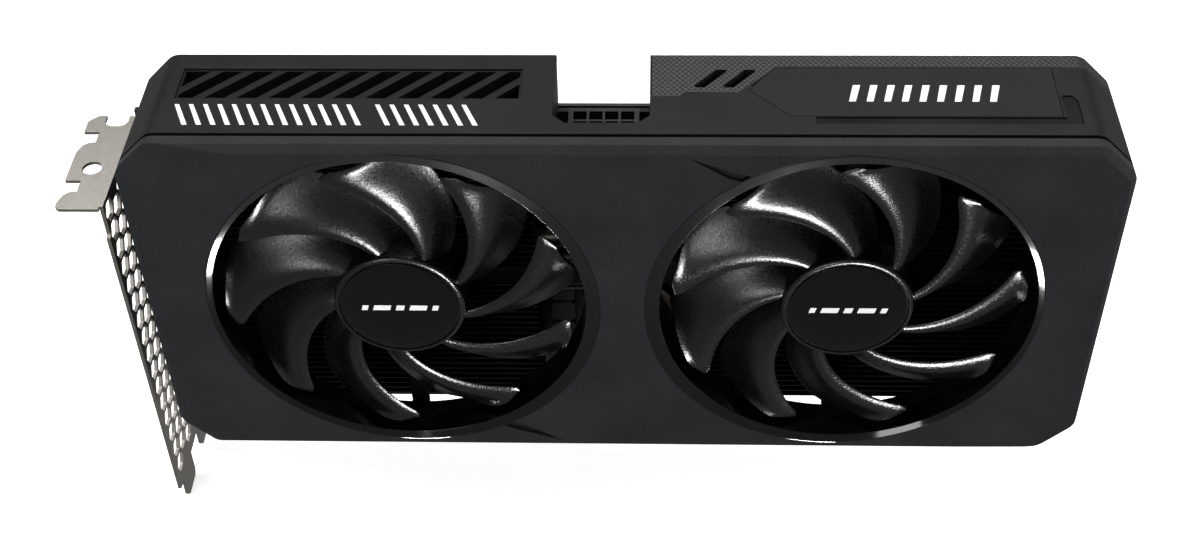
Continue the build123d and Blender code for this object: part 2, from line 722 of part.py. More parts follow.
def screw(place, head_radius, head_span, shank_radius, shank_span):
    """Pan-head screw along Y with a cross recess."""
    head = disc(head_radius, place, head_span)
    outer = head_span[1] if head_span[1] > shank_span[1] else head_span[0]
    inward = -0.5 if head_span[1] > shank_span[1] else 0.5
    recess = sorted((outer, outer + inward))
    slot = head_radius * 0.55
    head -= block((place[0] - slot, place[0] + slot), recess, (place[1] - 0.25, place[1] + 0.25))
    head -= block((place[0] - 0.25, place[0] + 0.25), recess, (place[1] - slot, place[1] + slot))
    return head + disc(shank_radius, place, shank_span)


def make_fan_screws():
    back = DECK_BACK + LUG_THICKNESS
    solids = []
    for side in FANS:
        for place in lug_places(side):
            solids.append(screw(place, 2.1, (back, back + 1.2), POST_HOLE, (DECK_FRONT + 0.4, back)))
    return group(solids)


# ---- heatsink ----
def pipe_route(index):
    """Centre line of a heat pipe in X and Z: across the cold plate, then spread to its fins."""
    start, end = PIPE_ENDS
    height = GPU_CENTRE[1] + (index - 1) * PIPE_SPACING
    if index == 1:
        return [(start, height), (end, height)]
    far = GPU_CENTRE[1] + (index - 1) * PIPE_SPREAD
    return [(start, height), (PIPE_TURN_X, height), (PIPE_TURN_X, far), (end, far)]


def make_heat_pipe(index):
    points = [(x, deep(PIPE_DEPTH), z) for x, z in pipe_route(index)]
    path = Polyline(*points) if len(points) == 2 else FilletPolyline(*points, radius=PIPE_BEND)
    start = Plane(origin=path @ 0, z_dir=path % 0)
    return sweep(start * Circle(PIPE_RADIUS), path=path)


def plate_around(size, centre):
    return ((centre[0] - size[0] / 2, centre[0] + size[0] / 2),
            (centre[1] - size[1] / 2, centre[1] + size[1] / 2))


def make_cold_plate():
    x_span, z_span = plate_around((COLD_PLATE_SIZE, COLD_PLATE_SIZE), GPU_CENTRE)
    return block(x_span, (COLD_PLATE_FRONT, COLD_PLATE_BACK), z_span)


STANDOFF_OFFSET = (25.5, 25.5)
STANDOFF_RADIUS = 2.6
STANDOFF_HOLE = 3.4


def standoff_places():
    return [(GPU_CENTRE[0] + sx * STANDOFF_OFFSET[0], GPU_CENTRE[1] + sz * STANDOFF_OFFSET[1])
            for sx in (-1, 1) for sz in (-1, 1)]


def make_base_plate():
    """Aluminium plate round the cold plate, with standoffs down to the circuit board."""
    x_span, z_span = plate_around(BASE_SIZE, GPU_CENTRE)
    span = (COLD_PLATE_FRONT, COLD_PLATE_FRONT + BASE_THICKNESS)
    body = block(x_span, span, z_span)
    for place in standoff_places():
        body += disc(STANDOFF_RADIUS, place, (span[0], BOARD_FRONT))
        body -= disc(POST_HOLE, place, (BOARD_FRONT - STANDOFF_HOLE, BOARD_FRONT))
    x_hole, z_hole = plate_around((COLD_PLATE_SIZE, COLD_PLATE_SIZE), GPU_CENTRE)
    return body - block(x_hole, (span[0] - 1.0, span[1] + 1.0), z_hole)


def make_fins(x_span, tools):
    """Stack of thin fins, open where pipes and plates pass."""
    solids = []
    count = int((FIN_HEIGHTS[1] - FIN_HEIGHTS[0]) / FIN_PITCH) + 1
    for index in range(count):
        low = FIN_HEIGHTS[0] + index * FIN_PITCH
        fin = block(x_span, (FIN_FRONT, FIN_BACK), (low, low + FIN_THICKNESS))
        for tool in tools:
            box = tool.bounding_box()
            if box.min.Z < low + FIN_THICKNESS and box.max.Z > low:
                fin -= tool
        solids.extend(fin.solids())
    return group(solids)


# ---- circuit board and what is on it ----
def memory_places():
    x, z = GPU_CENTRE
    return [(x - 8.0, z + 32.5), (x + 8.0, z + 32.5), (x - 8.0, z - 32.5), (x + 8.0, z - 32.5)]


def on_board(size, places, height, start=0.0):
    """Blocks that stand on the front of the circuit board."""
    solids = []
    for place in places:
        x_span, z_span = plate_around(size, place)
        solids.append(block(x_span, (BOARD_FRONT - start - height, BOARD_FRONT - start), z_span))
    return group(solids)


def make_board():
    low, key = TONGUE_HEIGHT, KEY_FROM_BRACKET
    notch = KEY_WIDTH / 2
    outline = polygon(
        (BOARD_LEFT, low), (key - notch - TONGUE_LEFT, low), (key - notch - TONGUE_LEFT, 1.0),
        (key - notch - TONGUE_LEFT + 1.0, 0), (key - notch - 0.5, 0), (key - notch, 0.5),
        (key - notch, low + 1.0), (key + notch, low + 1.0), (key + notch, 0.5),
        (key + notch + 0.5, 0), (key + notch + TONGUE_RIGHT - 1.0, 0), (key + notch + TONGUE_RIGHT, 1.0),
        (key + notch + TONGUE_RIGHT, low), (BOARD_RIGHT, low), (BOARD_RIGHT, BOARD_TOP),
        (BOARD_LEFT, BOARD_TOP))
    body = slab(outline, (BOARD_FRONT, BOARD_BACK))
    for place in standoff_places() + ear_places():
        body -= disc(POST_HOLE, place, (BOARD_FRONT, BOARD_BACK))
    return body


def make_contacts():
    """Gold contacts on both sides of the edge connector."""
    key, notch = KEY_FROM_BRACKET, KEY_WIDTH / 2
    width, thickness, height = CONTACT_SIZE
    starts = [key - notch - TONGUE_LEFT + 0.8 + CONTACT_PITCH * index for index in range(11)]
    starts += [key + notch + 0.8 + CONTACT_PITCH * index for index in range(71)]
    solids = []
    for x in starts:
        for span in ((BOARD_FRONT - thickness, BOARD_FRONT), (BOARD_BACK, BOARD_BACK + thickness)):
            solids.append(block((x, x + width), span, (1.0, 1.0 + height)))
    return group(solids)


CHOKE_X = 116.0
STAGE_X = 124.0
STAGE_FIRST = 33.6
STAGE_COUNT = 7
STAGE_PITCH = 8.0
STAGE_GAP = 11.5             # extra gap where the heat pipes cross
CAN_X = 139.5
CAN_HEIGHTS = (27.0, 34.5, 42.0, 49.5, 80.5, 87.2, 93.9)
CHOKE_SIZE = 7.0
CHOKE_HEIGHT = 5.0
CAN_RADIUS = 3.15
CAN_HEIGHT = 7.0


def stage_heights():
    """Heights of the regulator's phases, in two rows below and above the heat pipes."""
    heights = []
    for index in range(STAGE_COUNT):
        gap = STAGE_GAP if index > STAGE_COUNT // 2 else 0.0
        heights.append(STAGE_FIRST + index * STAGE_PITCH + gap)
    return heights


def make_chokes():
    """Moulded coils of the voltage regulator, with bevelled edges."""
    solids = []
    for z in stage_heights():
        x_span, z_span = plate_around((CHOKE_SIZE, CHOKE_SIZE), (CHOKE_X, z))
        body = block(x_span, (BOARD_FRONT - CHOKE_HEIGHT, BOARD_FRONT), z_span)
        solids.append(chamfer(body.edges().filter_by(Axis.Y), 0.8))
    return group(solids)


def make_cans():
    """Solid-polymer can capacitors."""
    solids = []
    for z in CAN_HEIGHTS:
        place = (CAN_X, z)
        base = disc(CAN_RADIUS, place, (BOARD_FRONT - 1.0, BOARD_FRONT))
        neck = disc(CAN_RADIUS - 0.25, place, (BOARD_FRONT - 1.8, BOARD_FRONT - 1.0))
        can = disc(CAN_RADIUS, place, (BOARD_FRONT - CAN_HEIGHT, BOARD_FRONT - 1.8))
        solids.append(base + neck + can)
    return group(solids)


def make_board_chips():
    """Power stages beside the chokes, and the control chips."""
    stages = [(STAGE_X, z) for z in stage_heights()]
    control = [(30.0, 50.0), (30.0, 86.0), (170.0, 36.0), (160.0, 84.0), (165.0, 60.0), (36.0, 30.0)]
    solids = list(on_board((5.0, 6.0), stages, 1.0).children)
    solids += list(on_board((6.0, 6.0), control, 0.9).children)
    return group(solids)


def make_chip_capacitors():
    """Rows of small ceramic capacitors beside the processor and the regulator."""
    places = []
    for index in range(9):
        places.append((GPU_CENTRE[0] - 16.0 + 4.0 * index, GPU_CENTRE[1] - 21.0))
        places.append((GPU_CENTRE[0] - 16.0 + 4.0 * index, GPU_CENTRE[1] + 21.0))
    places += [(156.0, 30.0 + 5.0 * index) for index in range(5)]
    places += [(176.0, 30.0 + 5.0 * index) for index in range(5)]
    return on_board((1.0, 1.8), places, 0.8)


def cavity_places():
    first = SOCKET_CENTRE_X - 1.5 * CAVITY_PITCH
    middle = BOARD_FRONT - SOCKET_SIZE[1] / 2
    return [(first + column * CAVITY_PITCH, middle + row * CAVITY_PITCH / 2)
            for column in range(4) for row in (-1, 1)]


def socket_heights():
    return SOCKET_TOP - SOCKET_SIZE[2], SOCKET_TOP


def make_power_socket():
    low, high = socket_heights()
    half = SOCKET_SIZE[0] / 2
    front = BOARD_FRONT - SOCKET_SIZE[1]
    body = block((SOCKET_CENTRE_X - half, SOCKET_CENTRE_X + half), (front, BOARD_FRONT), (low, high))
    latch = block((SOCKET_CENTRE_X - 3.0, SOCKET_CENTRE_X + 3.0), (front - 1.2, front),
                  (high - 6.0, high - 3.0))
    body += latch
    for x, depth in cavity_places():
        body -= block((x - CAVITY_SIZE / 2, x + CAVITY_SIZE / 2),
                      (depth - CAVITY_SIZE / 2, depth + CAVITY_SIZE / 2), (low + 3.0, high))
        body -= block((x - PIN_SIZE / 2, x + PIN_SIZE / 2),
                      (depth - PIN_SIZE / 2, depth + PIN_SIZE / 2), (low, high))
    return body


def make_power_pins():
    low, high = socket_heights()
    return group(block((x - PIN_SIZE / 2, x + PIN_SIZE / 2),
                       (depth - PIN_SIZE / 2, depth + PIN_SIZE / 2), (low, high - 4.0))
                 for x, depth in cavity_places())


# ---- display sockets ----
PORT_LENGTH = 15.0
PORT_STAND_OUT = 0.4
PORT_WALL = 0.5
PORT_GAP = 0.15
HDMI_SIZE = (5.8, 15.2)
DISPLAY_SIZE = (5.6, 17.0)
HDMI_HEIGHT = 87.0
DISPLAY_HEIGHTS = (25.0, 45.7, 66.4)


def port_spans(size, height, margin=0.0):
    return ((BOARD_FRONT - size[0] - margin, BOARD_FRONT + margin),
            (height - size[1] / 2 - margin, height + size[1] / 2 + margin))


def make_port(size, height):
    """Metal shell with an open mouth and a contact tongue."""
    depths, heights = port_spans(size, height)
    front, back = depths
    low, high = heights
    shell = block((-PORT_STAND_OUT, PORT_LENGTH), depths, heights)
    shell -= block((-PORT_STAND_OUT, PORT_LENGTH - 3.0), (front + PORT_WALL, back - PORT_WALL),
                   (low + PORT_WALL, high - PORT_WALL))
    middle = (front + back) / 2
    tongue = block((2.0, PORT_LENGTH - 3.0), (middle - 0.6, middle + 0.6), (low + 2.5, high - 2.5))
    return shell + tongue


def make_display_sockets():
    return group(make_port(DISPLAY_SIZE, height) for height in DISPLAY_HEIGHTS)


# ---- bracket ----
EAR_LENGTH = 9.0
EAR_HEIGHTS = (12.0, 101.0)


def ear_places():
    return [(6.0, height) for height in EAR_HEIGHTS]


def hex_cells():
    """Honeycomb cells that stand in columns, in depth and Z."""
    radius = (HEX_PITCH - HEX_WEB) / sqrt(3)
    step = HEX_PITCH * sqrt(3) / 2
    cells = []
    for column in range(HEX_COLUMNS):
        depth = HEX_FIRST + column * step
        lift = HEX_PITCH / 2 if column % 2 else 0.0
        rows = 16 if column % 2 == 0 else 15
        for row in range(rows):
            height = 2.2 + lift + row * HEX_PITCH
            cells.append(Pos(depth, height) * RegularPolygon(radius, 6))
    return cells


def flange_outline():
    """Flange seen from above: two screw notches, a round hole and a relief at the back."""
    shape = polygon((0, 0), (-FLANGE_DEPTH + 1.0, 0), (-FLANGE_DEPTH, 1.0),
                    (-FLANGE_DEPTH, BRACKET_WIDTH - 2.5), (-FLANGE_DEPTH + 2.5, BRACKET_WIDTH),
                    (0, BRACKET_WIDTH))
    for index in range(2):
        low = NOTCH_FROM_FRONT - NOTCH_WIDTH / 2 + index * NOTCH_PITCH
        high = low + NOTCH_WIDTH
        shoulder = 4.6
        notch = polygon((-FLANGE_DEPTH - 1.0, low - shoulder), (-FLANGE_DEPTH, low - shoulder),
                        (-FLANGE_DEPTH + 0.9, low - 1.6), (-FLANGE_DEPTH + 2.4, low - 0.2),
                        (-FLANGE_DEPTH + NOTCH_DEPTH, low), (-FLANGE_DEPTH + NOTCH_DEPTH, high),
                        (-FLANGE_DEPTH - 1.0, high))
        shape -= notch
    relief = Pos(-3.6, BRACKET_WIDTH) * Rectangle(6.2, 9.0)
    relief = fillet(relief.vertices(), 2.4)
    shape -= relief
    return shape - Pos(*FLANGE_HOLE) * Circle(FLANGE_HOLE_RADIUS)


def make_bracket():
    """One bent sheet: plate, flange, tails and two ears that hold the circuit board."""
    plate = Pos(BRACKET_WIDTH / 2, (PLATE_HEIGHT + PLATE_BOTTOM) / 2) * Rectangle(
        BRACKET_WIDTH, PLATE_HEIGHT - PLATE_BOTTOM)
    for low in (TAIL_MARGIN, BRACKET_WIDTH - TAIL_MARGIN - TAIL_WIDTH):
        plate += polygon((low, PLATE_BOTTOM), (low, TAIL_TIP + 1.5), (low + 1.5, TAIL_TIP),
                         (low + TAIL_WIDTH - 1.5, TAIL_TIP), (low + TAIL_WIDTH, TAIL_TIP + 1.5),
                         (low + TAIL_WIDTH, PLATE_BOTTOM))
    for cell in hex_cells():
        plate -= cell
    openings = [(DISPLAY_SIZE, height) for height in DISPLAY_HEIGHTS] + [(HDMI_SIZE, HDMI_HEIGHT)]
    for size, height in openings:
        depths, heights = port_spans(size, height, PORT_GAP)
        plate -= Pos(sum(depths) / 2, sum(heights) / 2) * Rectangle(
            depths[1] - depths[0], heights[1] - heights[0])
    body = side_slab(plate, (0, SHEET))
    bend = Pos(SHEET, 0) * Rectangle(SHEET, BRACKET_WIDTH, align=(Align.MAX, Align.MIN))
    top = layer(flange_outline() + bend, (FLANGE_TOP - SHEET, FLANGE_TOP))
    body += top
    body -= block((0, SHEET), (0, BEND_RELIEF[0]), (FLANGE_TOP - BEND_RELIEF[1], FLANGE_TOP))
    for x, height in ear_places():
        ear = block((SHEET, EAR_LENGTH), (BOARD_FRONT - SHEET, BOARD_FRONT), (height - 3.0, height + 3.0))
        body += ear - disc(POST_HOLE, (x, height), (BOARD_FRONT - SHEET, BOARD_FRONT))
    return body


def make_bracket_screws():
    return group(screw(place, 2.0, (BOARD_BACK, BOARD_BACK + 1.0), POST_HOLE,
                       (BOARD_FRONT - SHEET, BOARD_BACK)) for place in ear_places())


# ---- back ----
WINDOW_MARGIN = 4.5


def make_backplate():
    """Stamped plate with a window for the spring bracket, air slots and a socket notch."""
    low, high = BACKPLATE_HEIGHTS
    span = (BACKPLATE_FRONT, BACKPLATE_FRONT + BACKPLATE_THICKNESS)
    left, right = FACE_GAP + BACKPLATE_INSET, CARD_LENGTH - BACKPLATE_INSET
    body = slab(card_outline(BACKPLATE_INSET), span)
    body += block((left, right - CORNER_CUT), span, (low, FACE_BOTTOM + 2 * CORNER_CUT))
    body -= block((left - 1.0, right + 1.0), span, (high, CARD_HEIGHT))
    body -= block((SOCKET_SPAN[0] - 2.0, SOCKET_SPAN[1] + 2.0), (span[0] - 1.0, span[1] + 1.0),
                  (BOARD_TOP - 0.6, high + 1.0))
    reach = STANDOFF_OFFSET[0] + STANDOFF_RADIUS + WINDOW_MARGIN
    window = Pos(*GPU_CENTRE) * RectangleRounded(2 * reach, 2 * reach, 5.0)
    body -= slab(window, (span[0] - 1.0, span[1] + 1.0))
    for index in range(9):
        slot = Pos(196.0 + index * 6.0, FAN_HEIGHT) * Rot(0, 0, 70) * SlotOverall(62.0, 3.2)
        body -= slab(slot, (span[0] - 1.0, span[1] + 1.0))
    for place in post_places():
        body -= disc(POST_HOLE, place, span)
    return body


def make_backplate_screws():
    back = BACKPLATE_FRONT + BACKPLATE_THICKNESS
    return group(screw(place, 2.3, (back, back + 0.9), POST_HOLE, (BACKPLATE_FRONT - 8.0, back))
                 for place in post_places())


def make_spring_bracket():
    """Cross-shaped steel spring that pulls the cold plate onto the processor."""
    span = (BOARD_BACK, BOARD_BACK + 1.0)
    diagonal = 2 * sqrt(STANDOFF_OFFSET[0] ** 2 + STANDOFF_OFFSET[1] ** 2) + 7.0
    shape = Pos(*GPU_CENTRE) * (Rot(0, 0, 45) * SlotOverall(diagonal, 7.0)
                                + Rot(0, 0, -45) * SlotOverall(diagonal, 7.0) + Circle(9.0))
    body = slab(shape, span)
    for place in standoff_places():
        body -= disc(POST_HOLE, place, span)
    return body - disc(4.0, GPU_CENTRE, span)


def make_cooler_screws():
    back = BOARD_BACK + 1.0
    return group(screw(place, 2.4, (back, back + 1.4), POST_HOLE, (BOARD_FRONT - STANDOFF_HOLE, back))
                 for place in standoff_places())


# ---- build every node ----
def make_all():
    parts["faceplate"] = make_faceplate()
    parts["shroud"] = make_shroud()
    parts["vent_grille"] = make_vent_grille()
    parts["top_trim"] = make_top_trim()
    parts["side_panel"] = make_side_panel()
    parts["light_guide"] = make_light_guide()
    parts["led_board"] = make_led_board()
    parts["leds"] = make_leds()
    for side in FANS:
        parts[f"bezel_ring_{side}"] = make_bezel(side)
        parts[f"fan_rotor_{side}"] = make_rotor(side)
        parts[f"hub_cap_{side}"] = make_hub_cap(side)
        parts[f"rotor_yoke_{side}"] = make_yoke(side)
        parts[f"rotor_magnet_{side}"] = make_magnet(side)
        parts[f"fan_shaft_{side}"] = make_shaft(side)
        parts[f"fan_bearing_{side}"] = make_bearing(side)
        parts[f"stator_core_{side}"] = make_stator(side)
        parts[f"stator_coils_{side}"] = make_coils(side)
        parts[f"motor_board_{side}"] = make_motor_board(side)
        parts[f"fan_frame_{side}"] = make_frame(side)
        parts[f"fan_lead_{side}"] = make_lead(side)
    parts["fan_plugs"] = make_plugs()
    parts["fan_headers"] = make_headers()
    parts["fan_screws"] = make_fan_screws()
    pipes = [make_heat_pipe(index) for index in range(3)]
    parts["heat_pipes"] = group(pipes)
    parts["cold_plate"] = make_cold_plate()
    parts["base_plate"] = make_base_plate()
    parts["fin_block_left"] = make_fins(LEFT_FINS, pipes + [parts["cold_plate"], parts["base_plate"]])
    parts["fin_block_right"] = make_fins(RIGHT_FINS, pipes)
    pad_gap = BOARD_FRONT - MEMORY_THICKNESS - COLD_PLATE_FRONT - BASE_THICKNESS
    parts["thermal_pads"] = on_board(MEMORY_SIZE, memory_places(), pad_gap, MEMORY_THICKNESS)
    parts["circuit_board"] = make_board()
    parts["edge_contacts"] = make_contacts()
    package = (PACKAGE_SIZE, PACKAGE_SIZE)
    parts["gpu_package"] = on_board(package, [GPU_CENTRE], PACKAGE_THICKNESS)
    parts["gpu_die"] = on_board(DIE_SIZE, [GPU_CENTRE], DIE_THICKNESS, PACKAGE_THICKNESS)
    parts["memory_chips"] = on_board(MEMORY_SIZE, memory_places(), MEMORY_THICKNESS)
    parts["chokes"] = make_chokes()
    parts["can_capacitors"] = make_cans()
    parts["board_chips"] = make_board_chips()
    parts["chip_capacitors"] = make_chip_capacitors()
    parts["power_socket"] = make_power_socket()
    parts["power_pins"] = make_power_pins()
    parts["hdmi_socket"] = make_port(HDMI_SIZE, HDMI_HEIGHT)
    parts["display_sockets"] = make_display_sockets()
    parts["io_bracket"] = make_bracket()
    parts["bracket_screws"] = make_bracket_screws()
    parts["backplate"] = make_backplate()
    parts["backplate_screws"] = make_backplate_screws()
    parts["spring_bracket"] = make_spring_bracket()
    parts["cooler_screws"] = make_cooler_screws()


make_all()
os.makedirs("parts", exist_ok=True)
for name, shape in parts.items():
    export_step(shape, f"parts/{name}.step")
print(len(parts), "nodes")
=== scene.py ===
import json
import math

import bmesh
import bpy
from mathutils import Matrix, Vector


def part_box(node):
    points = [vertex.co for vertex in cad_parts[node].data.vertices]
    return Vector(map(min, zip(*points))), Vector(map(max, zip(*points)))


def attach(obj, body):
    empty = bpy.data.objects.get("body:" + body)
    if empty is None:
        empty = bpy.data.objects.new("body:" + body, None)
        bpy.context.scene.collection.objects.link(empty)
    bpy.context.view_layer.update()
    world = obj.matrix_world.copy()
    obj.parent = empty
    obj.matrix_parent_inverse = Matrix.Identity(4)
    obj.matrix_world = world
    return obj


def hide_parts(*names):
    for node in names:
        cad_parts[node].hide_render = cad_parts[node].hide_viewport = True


# Looks of the graphics card. The frame is in metres: +X from the bracket to the far end,
# +Z up, fans facing -Y. Sizes below are in millimetres where their names end in MM.
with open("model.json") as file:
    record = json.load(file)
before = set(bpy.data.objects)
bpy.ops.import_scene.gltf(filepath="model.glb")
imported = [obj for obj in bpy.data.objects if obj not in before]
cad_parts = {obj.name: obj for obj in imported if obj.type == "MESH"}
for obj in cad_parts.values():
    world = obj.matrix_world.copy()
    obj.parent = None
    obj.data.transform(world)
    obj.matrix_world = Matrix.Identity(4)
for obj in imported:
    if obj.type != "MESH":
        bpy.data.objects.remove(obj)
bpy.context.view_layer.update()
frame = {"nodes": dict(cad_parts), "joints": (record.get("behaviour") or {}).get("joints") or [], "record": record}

MM = 0.001
FANS = ("left", "right")
CARD = "card"


# ---- where things are, from the frame ----
def node_box(node):
    low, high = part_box(node)
    return Vector(low), Vector(high)


FACE_Y = node_box("faceplate")[0].y
BAND_TOP = node_box("shroud")[1].z
FLOOR_Z = node_box("io_bracket")[0].z


def joint_of(side):
    for joint in frame["joints"]:
        if joint["child"] == f"{side}_rotor":
            return Vector(joint["pos_m"])
    raise KeyError(side)


# ---- colours and nodes ----
def colour(code):
    """Linear colour of an sRGB hex code."""
    channels = [int(code[place:place + 2], 16) / 255 for place in (1, 3, 5)]
    linear = [c / 12.92 if c <= 0.04045 else ((c + 0.055) / 1.055) ** 2.4 for c in channels]
    return (*linear, 1.0)


def add(material, kind, inputs=None, **settings):
    """Adds a shader node. Inputs take values, or outputs of other nodes, which are linked."""
    made = material.node_tree.nodes.new(kind)
    for name, value in settings.items():
        setattr(made, name, value)
    for name, value in (inputs or {}).items():
        if isinstance(value, bpy.types.NodeSocket):
            material.node_tree.links.new(value, made.inputs[name])
        else:
            made.inputs[name].default_value = value
    return made


def blank(name):
    material = bpy.data.materials.new(name)
    material.use_nodes = True
    material.node_tree.nodes.clear()
    return material


def place(material):
    """Position in the row frame, which rides with its body."""
    return add(material, "ShaderNodeTexCoord").outputs["Object"]


def mix_colours(material, share, low, high):
    ramp = add(material, "ShaderNodeValToRGB", {"Fac": share})
    ramp.color_ramp.elements[0].color = colour(low)
    ramp.color_ramp.elements[1].color = colour(high)
    return ramp


def spread(material, value, low, high, start=0.0, end=1.0):
    return add(material, "ShaderNodeMapRange", {
        "Value": value, "From Min": start, "From Max": end, "To Min": low, "To Max": high,
    }).outputs["Result"]


def finish_surface(material, base, roughness, normal, extra):
    shader = add(material, "ShaderNodeBsdfPrincipled", {
        "Base Color": base, "Roughness": roughness, **({"Normal": normal} if normal else {}), **extra,
    })
    add(material, "ShaderNodeOutputMaterial", {"Surface": shader.outputs["BSDF"]})
    return material


def rounded(material, radius_mm):
    """Normal that rounds sharp edges over a small radius, as a mould or a press leaves them."""
    return add(material, "ShaderNodeBevel", {"Radius": radius_mm * MM}, samples=4).outputs["Normal"]


RAMP_START = 0.25
RAMP_END = 0.75


def grained(name, low, high, rough, grain_mm, bump_mm, edge_mm=0.25, patch_mm=18.0, extra=None):
    """Surface with fine grain, and slow patches of slightly different colour and gloss."""
    material = blank(name)
    where = place(material)
    patches = add(material, "ShaderNodeTexNoise",
                  {"Vector": where, "Scale": 1 / (patch_mm * MM), "Detail": 3.0})
    grain = add(material, "ShaderNodeTexNoise",
                {"Vector": where, "Scale": 1 / (grain_mm * MM), "Detail": 4.0, "Roughness": 0.6})
    both = add(material, "ShaderNodeMath",
               {0: patches.outputs["Fac"], 1: grain.outputs["Fac"], 2: RAMP_START}, operation="MULTIPLY_ADD")
    base = mix_colours(material, both.outputs[0], low, high)
    base.color_ramp.elements[0].position = RAMP_START
    base.color_ramp.elements[1].position = RAMP_END
    roughness = spread(material, patches.outputs["Fac"], rough[0], rough[1], 0.3, 0.7)
    bump = add(material, "ShaderNodeBump", {
        "Height": grain.outputs["Fac"], "Distance": bump_mm * MM, "Strength": 1.0,
        "Normal": rounded(material, edge_mm),
    })
    return finish_surface(material, base.outputs["Color"], roughness, bump.outputs["Normal"],
                          extra or {})


# ---- plastics ----
def eroded_abs():
    """Spark-eroded ABS: dark, faintly blue grey, pitted by the mould so it glitters."""
    return grained("spark-eroded ABS", "#18191b", "#2b2c2f", (0.50, 0.62), 0.6, 0.06,
                   edge_mm=0.4, extra={"IOR": 1.50, "Specular IOR Level": 0.18})


def satin_abs():
    """Moulded satin ABS: smooth dark plastic with soft broad reflections."""
    return grained("satin ABS", "#101012", "#171719", (0.38, 0.46), 0.9, 0.006,
                   edge_mm=0.5, extra={"IOR": 1.50, "Specular IOR Level": 0.2})


def inlay_abs():
    """Fine matt ABS of the flush panel, a shade paler than the band round it."""
    return grained("fine matt ABS", "#131315", "#1b1b1d", (0.46, 0.54), 0.5, 0.010,
                   edge_mm=0.15, extra={"IOR": 1.50, "Specular IOR Level": 0.18})


def dark_abs():
    """Black moulded nylon of inner parts: fine grain, little light comes back."""
    return grained("black moulded nylon", "#050505", "#0a0a0b", (0.5, 0.6), 0.7, 0.012,
                   edge_mm=0.3, extra={"IOR": 1.50, "Specular IOR Level": 0.2})


def gloss_abs():
    """Polished black ABS: mirror-like highlights with faint waviness."""
    return grained("polished black ABS", "#050506", "#0a0a0b", (0.07, 0.12), 6.0, 0.010,
                   edge_mm=0.25, extra={"IOR": 1.54})


KNURL_MM = 0.6
KNURL_TURN = 38.0
KNURL_DEPTH_MM = 0.12


def knurled_abs():
    """Knurled ABS: crossing fine ridges that break the light into small dots, with painted shade in the grooves
    and painted highlight on the ridge tops.
    """
    material = blank("knurled ABS")
    where = place(material)
    heights = []
    for turn in (KNURL_TURN, -KNURL_TURN):
        lines = add(material, "ShaderNodeMapping",
                    {"Vector": where, "Rotation": (0, 0, math.radians(turn))})
        wave = add(material, "ShaderNodeTexWave", {
            "Vector": lines.outputs["Vector"], "Scale": 1 / (KNURL_MM * MM) / math.tau,
            "Distortion": 0.0}, wave_type="BANDS", bands_direction="X", wave_profile="SIN")
        heights.append(wave.outputs["Fac"])
    crossed = add(material, "ShaderNodeMath", {0: heights[0], 1: heights[1]}, operation="MULTIPLY")
    # The colour follows the ridge height: painted shade darkens the grooves and painted highlight lightens the
    # ridge tops.
    base = mix_colours(material, crossed.outputs[0], "#060607", "#161618")
    bump = add(material, "ShaderNodeBump", {
        "Height": crossed.outputs[0], "Distance": KNURL_DEPTH_MM * MM, "Strength": 1.0,
        "Normal": rounded(material, 0.3)})
    return finish_surface(material, base.outputs["Color"], 0.5, bump.outputs["Normal"], {"IOR": 1.54})


def blade_abs():
    """Satin-gloss black ABS of the blades: bright lobes broken up by a fine sparkle."""
    material = blank("satin-gloss blade ABS")
    where = place(material)
    grain = add(material, "ShaderNodeTexNoise",
                {"Vector": where, "Scale": 1 / (0.7 * MM), "Detail": 2.0, "Roughness": 0.8})
    patches = add(material, "ShaderNodeTexNoise", {"Vector": where, "Scale": 1 / (14 * MM), "Detail": 2.0})
    base = mix_colours(material, patches.outputs["Fac"], "#040405", "#08080a")
    roughness = spread(material, grain.outputs["Fac"], 0.22, 0.36, 0.3, 0.7)
    bump = add(material, "ShaderNodeBump",
               {"Height": grain.outputs["Fac"], "Distance": 0.07 * MM, "Strength": 1.0})
    return finish_surface(material, base.outputs["Color"], roughness, bump.outputs["Normal"],
                          {"IOR": 1.56})


def label_film():
    """Printed film on the hub: near black, smooth, with a faint satin haze."""
    return grained("hub label film", "#040405", "#070708", (0.26, 0.32), 3.0, 0.004,
                   edge_mm=0.15, extra={"IOR": 1.5, "Specular IOR Level": 0.35})


def white_ink():
    """Screen-printed white ink: matt, a touch uneven where the mesh left it thin."""
    return grained("screen-printed white ink", "#e4e5e6", "#f6f6f6", (0.5, 0.62), 0.4, 0.003,
                   edge_mm=0.02, extra={"IOR": 1.5})


def smoked_diffuser():
    """Smoked acrylic light guide, unlit: nearly black, with a glossy skin."""
    return grained("smoked acrylic", "#050506", "#0b0b0c", (0.16, 0.24), 4.0, 0.004,
                   edge_mm=0.2, extra={"IOR": 1.49})


# ---- metals ----
def brushed(name, low, high, rough, stretch, line_mm, bump_mm, edge_mm=0.2):
    """Metal with fine drawn lines along one direction."""
    material = blank(name)
    lines = add(material, "ShaderNodeMapping", {"Vector": place(material), "Scale": stretch})
    noise = add(material, "ShaderNodeTexNoise",
                {"Vector": lines.outputs["Vector"], "Scale": 1 / (line_mm * MM), "Detail": 5.0})
    base = mix_colours(material, noise.outputs["Fac"], low, high)
    roughness = spread(material, noise.outputs["Fac"], rough[0], rough[1], 0.3, 0.7)
    bump = add(material, "ShaderNodeBump", {
        "Height": noise.outputs["Fac"], "Distance": bump_mm * MM, "Strength": 1.0,
        "Normal": rounded(material, edge_mm)})
    return finish_surface(material, base.outputs["Color"], roughness, bump.outputs["Normal"],
                          {"Metallic": 1.0})


def nickel_steel():
    """Nickel-plated rolled steel: warm light grey with soft rolling lines."""
    return brushed("nickel-plated steel", "#a7a29b", "#c9c5be", (0.30, 0.42), (1, 1, 0.05), 0.5, 0.004)


def zinc_steel():
    """Zinc-plated steel: cool grey, slightly cloudy."""
    return brushed("zinc-plated steel", "#8f9296", "#b4b7ba", (0.28, 0.4), (1, 1, 1), 2.0, 0.003)


